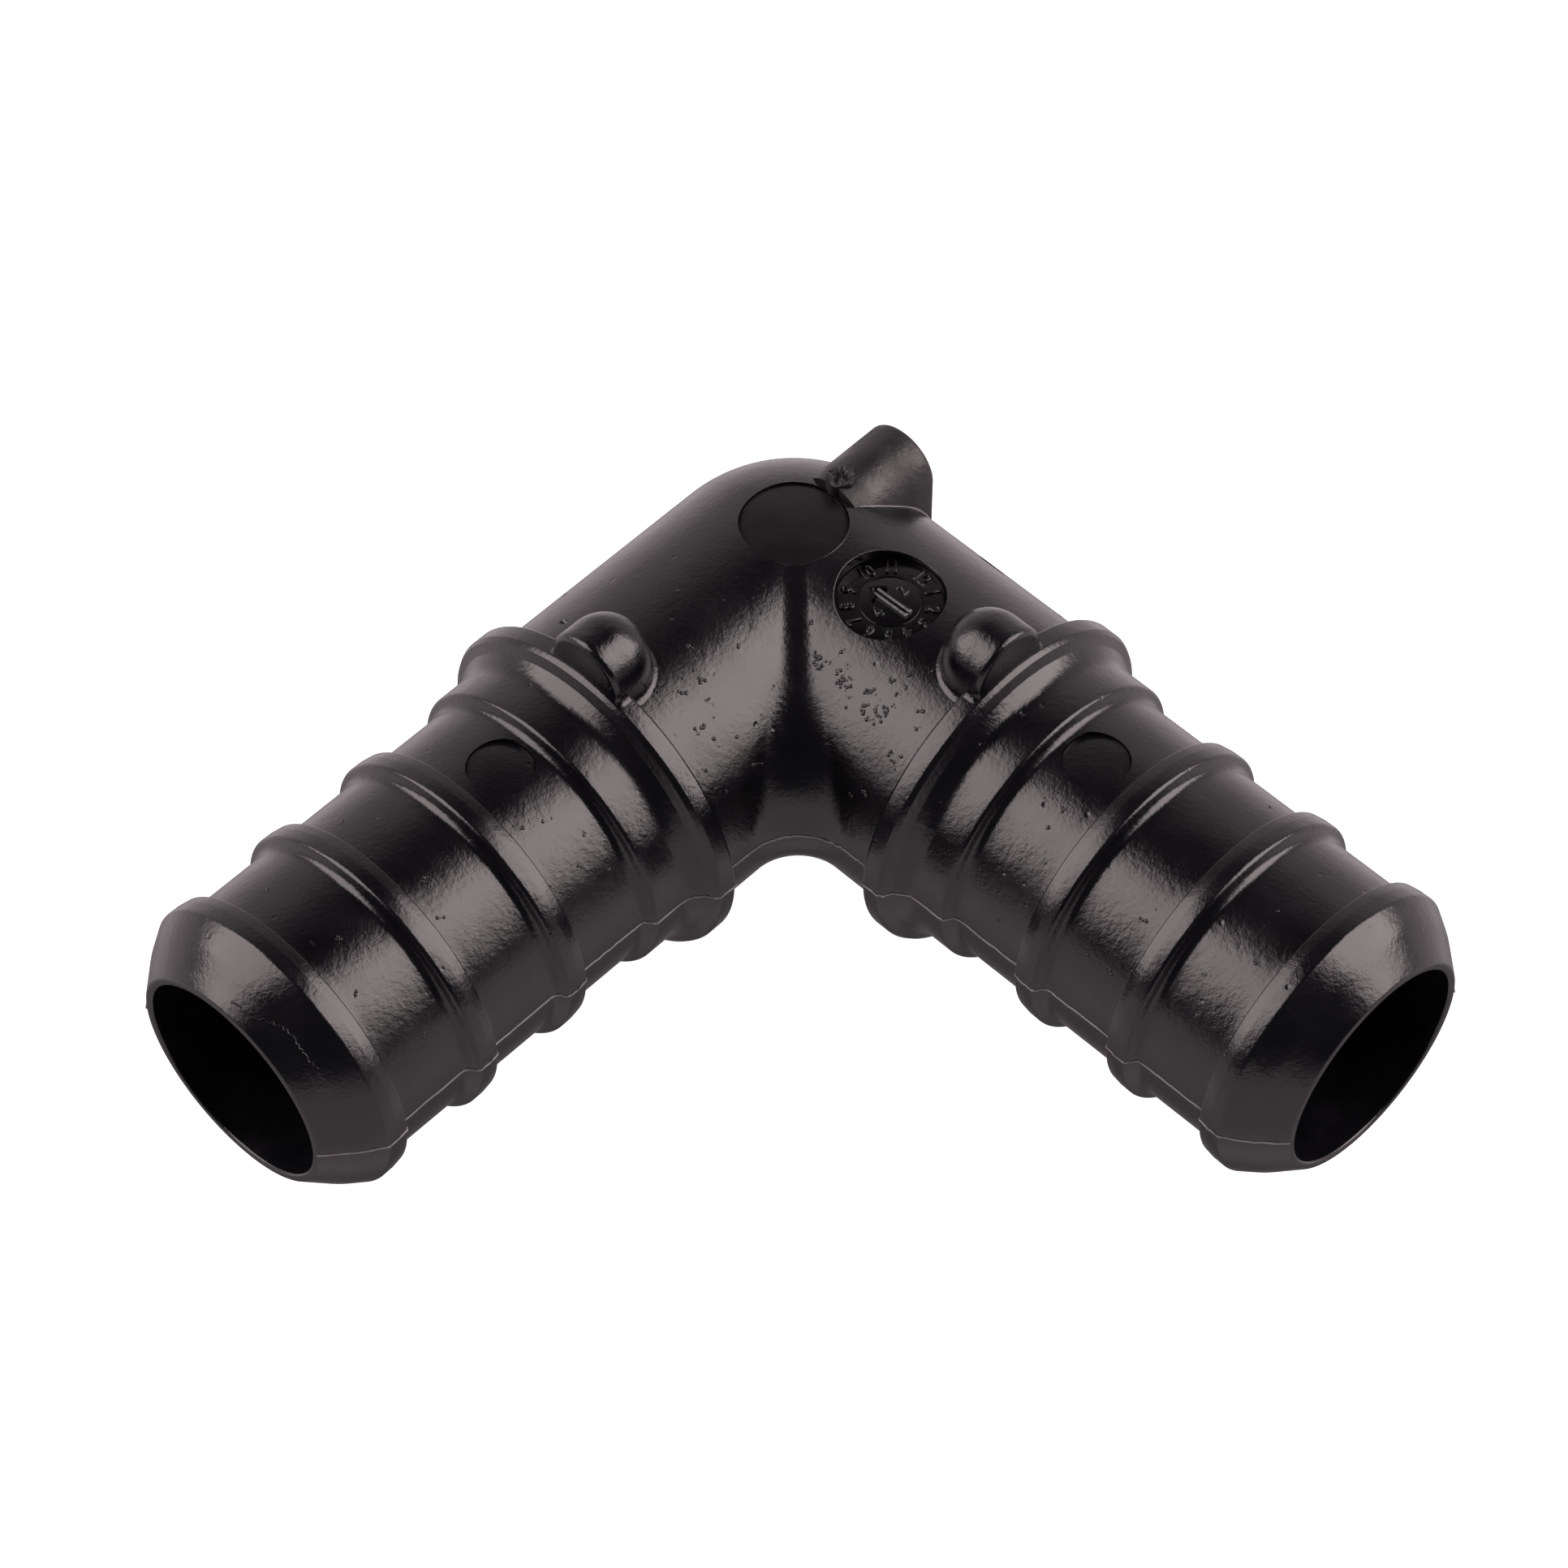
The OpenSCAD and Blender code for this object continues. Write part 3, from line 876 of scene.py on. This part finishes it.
def specks():
    """Pimples left by pits in the mould, thickest on the bend and between the ribs."""
    rng = random.Random(29)
    # Each patch is (leg, from and to along it, from and to round it in degrees, radius, how many)
    patches = [
        (LEFT, 6.5, 18.5, -12, 62, TUBE_R, 90), (RIGHT, 14.0, 18.5, -12, 62, TUBE_R, 60),
        (RIGHT, 4.0, 18.5, 24, 66, TUBE_R, 70), (RIGHT, 8.0, 11.0, 28, 36, TUBE_R, 44),
        (RIGHT, 11.0, 15.3, 30, 37, TUBE_R, 56), (LEFT, 36.5, 40, -40, 75, ROOT_R, 14),
        (LEFT, 45.0, 48.4, -30, 80, ROOT_R, 14), (LEFT, 27.0, 31.5, 18, 75, ROOT_R, 16),
        (RIGHT, 36.5, 40, -40, 75, ROOT_R, 14), (RIGHT, 45.0, 48.4, -30, 80, ROOT_R, 12),
        (RIGHT, 27.0, 31.5, 18, 75, ROOT_R, 20), (LEFT, 2.0, 18.0, 150, 320, TUBE_R, 30),
        (RIGHT, 2.0, 18.0, 150, 320, TUBE_R, 30),
    ]
    verts, aims, shares = [], [], []
    for leg, low, high, start, end, radius, count in patches:
        while count > 0:
            s, a = rng.uniform(low, high), math.radians(rng.uniform(start, end))
            for _ in range(rng.choice((1, 2, 3, 4, 5))):
                aim = leg[1] * math.sin(a) + UP * math.cos(a)
                on_clock = leg is RIGHT and abs(s - CLOCK_AT) < 4.2 and abs(a) < 0.4
                on_face = s < 4.3 and abs(a) < 0.4
                if not on_clock and not on_face:
                    verts.append((leg[0] * s + aim * (radius - 0.02)) * MM)
                    aims.append(aim)
                    shares.append(rng.uniform(0.45, 1.45))
                s += rng.uniform(-0.26, 0.26)
                a += rng.uniform(-0.022, 0.022)
                count -= 1
    obj = mesh_object("mould_specks", verts, [])
    aim_data = obj.data.attributes.new("aim", "FLOAT_VECTOR", "POINT").data
    aim_data.foreach_set("vector", [c for v in aims for c in v])
    share_data = obj.data.attributes.new("share", "FLOAT", "POINT").data
    share_data.foreach_set("value", shares)
    sizes = {"Pimple Size": 0.12 * MM, "Flatness": 0.6}
    return run_tree(obj, pimple_tree(), **sizes, **{"Material": gloss_black})


dress(smooth(stub_edge(), 60), bead_highlight_grey, "black_plastic")
dress(smooth(rim("clock_rim", CLOCK_CENTRE, CLOCK_R + 0.03, 200, 420), 60), gloss_black, "black_plastic")
dress(smooth(rim("face_rim", Vector(), FACE_R + 0.03, 80, 200), 60), gloss_black, "black_plastic")
dress(smooth(parting_line(), 60), bead_highlight_grey, "black_plastic")
for piece in (weld_line(), specks()):
    dress(smooth(piece, 60), gloss_black, "black_plastic")


# ---------------------------------------------------------------- studio

def studio_world():
    """A dim room with a pale sweep behind the part and a bright table below it, with a painted shadow of the
    part on the table.
    """
    world = bpy.data.worlds.new("studio")
    bpy.context.scene.world = world
    world.use_nodes = True
    tree = world.node_tree
    back = tree.nodes["Background"]
    split = tree.nodes.new("ShaderNodeSeparateXYZ")
    tree.links.new(tree.nodes.new("ShaderNodeTexCoord").outputs["Generated"], split.inputs[0])

    def spread(socket, low, high, smooth_step=False):
        node = tree.nodes.new("ShaderNodeMapRange")
        node.inputs["From Min"].default_value = low
        node.inputs["From Max"].default_value = high
        if smooth_step:
            node.interpolation_type = "SMOOTHSTEP"
        tree.links.new(socket, node.inputs["Value"])
        return node.outputs[0]

    def ramp(socket, stops):
        node = tree.nodes.new("ShaderNodeValToRGB")
        bar = node.color_ramp
        while len(bar.elements) < len(stops):
            bar.elements.new(0.5)
        for element, (place_at, value) in zip(bar.elements, stops):
            element.position = place_at
            element.color = tuple(share * value for share in ROOM_TINT) + (1,)
        tree.links.new(socket, node.inputs["Fac"])
        return node.outputs["Color"]

    # Each stop is (share of the height range, brightness)
    height = split.outputs["Z"]
    # Below the part the table is darker straight down and towards +Y: a painted shadow of the part on the
    # table, seen in the part's reflections.
    under = ramp(spread(height, -1, 0), [(0, 0.12), (0.13, 0.2), (0.3, 0.42), (0.45, 0.95), (1, 0.95)])
    front = ramp(spread(height, -1, 0), [(0, 0.58), (0.13, 0.57), (0.3, 0.64), (0.5, 0.76), (1, 0.88)])
    table = tree.nodes.new("ShaderNodeMix")
    table.data_type = "RGBA"
    tree.links.new(spread(split.outputs["Y"], -0.45, 0.15, True), table.inputs["Factor"])
    tree.links.new(front, table.inputs["A"])
    tree.links.new(under, table.inputs["B"])
    sweep = ramp(spread(height, 0, 1), [(0, 0.74), (0.5, 0.72), (0.6, 0.5), (0.7, 0.33), (0.79, 0.15),
                                        (0.86, 0.07), (0.91, 0.03), (1, 0.015)])
    behind = tree.nodes.new("ShaderNodeMix")
    behind.data_type = "RGBA"
    behind.inputs["A"].default_value = (0.033, 0.031, 0.036, 1)
    tree.links.new(spread(split.outputs["Y"], -0.15, 0.65, True), behind.inputs["Factor"])
    tree.links.new(sweep, behind.inputs["B"])
    both = tree.nodes.new("ShaderNodeMix")
    both.data_type = "RGBA"
    tree.links.new(spread(height, -0.04, 0.06, True), both.inputs["Factor"])
    tree.links.new(table.outputs["Result"], both.inputs["A"])
    tree.links.new(behind.outputs["Result"], both.inputs["B"])
    tree.links.new(both.outputs["Result"], back.inputs["Color"])


def softbox(name, azimuth, elevation, distance, width, height, radiance):
    """A rectangular soft light that faces the part; azimuth turns from +Y towards +X."""
    light = bpy.data.lights.new(name, "AREA")
    light.shape = "RECTANGLE"
    light.size, light.size_y = width, height
    light.energy = radiance * math.pi * width * height
    light.color = LIGHT_TINT
    obj = bpy.data.objects.new(name, light)
    a, e = math.radians(azimuth), math.radians(elevation)
    away = Vector((math.sin(a) * math.cos(e), math.cos(a) * math.cos(e), math.sin(e)))
    obj.location = away * distance
    obj.rotation_euler = away.to_track_quat("Z", "Y").to_euler()
    obj.visible_camera = False
    bpy.context.scene.collection.objects.link(obj)


def floor_material():
    """A plain pale floor, lit from itself so that it stays even."""
    mat = bpy.data.materials.new("pale floor")
    mat.use_nodes = True
    shader = mat.node_tree.nodes["Principled BSDF"]
    shader.inputs["Base Color"].default_value = (0.4, 0.4, 0.4, 1)
    shader.inputs["Roughness"].default_value = 0.9
    shader.inputs["Specular IOR Level"].default_value = 0
    shader.inputs["Emission Color"].default_value = (1, 1, 1, 1)
    shader.inputs["Emission Strength"].default_value = 1.0
    return mat


floor_corners = [(x * FLOOR_HALF * MM, y * FLOOR_HALF * MM, FLOOR_Z * MM)
                 for x, y in ((-1, -1), (1, -1), (1, 1), (-1, 1))]
floor = mesh_object("floor", floor_corners, [(0, 1, 2, 3)])
floor.data.materials.append(floor_material())
floor.visible_glossy = False

studio_world()
for side_name, azimuth, radiance in (("right softbox", 90, 5.6), ("left softbox", -90, 4.6)):
    softbox(side_name, azimuth, elevation=38, distance=0.9, width=0.72, height=0.92, radiance=radiance)

camera_data = bpy.data.cameras.new("camera")
camera_data.sensor_width = 36
camera_data.lens = 126.3
camera_data.clip_start = 0.01
camera = bpy.data.objects.new("camera", camera_data)
camera.location = CAMERA_AT * MM
camera.rotation_euler = (camera.location - LOOK_AT * MM).to_track_quat("Z", "Y").to_euler()
bpy.context.scene.collection.objects.link(camera)
bpy.context.scene.camera = camera
bpy.context.scene.view_settings.view_transform = "Standard"
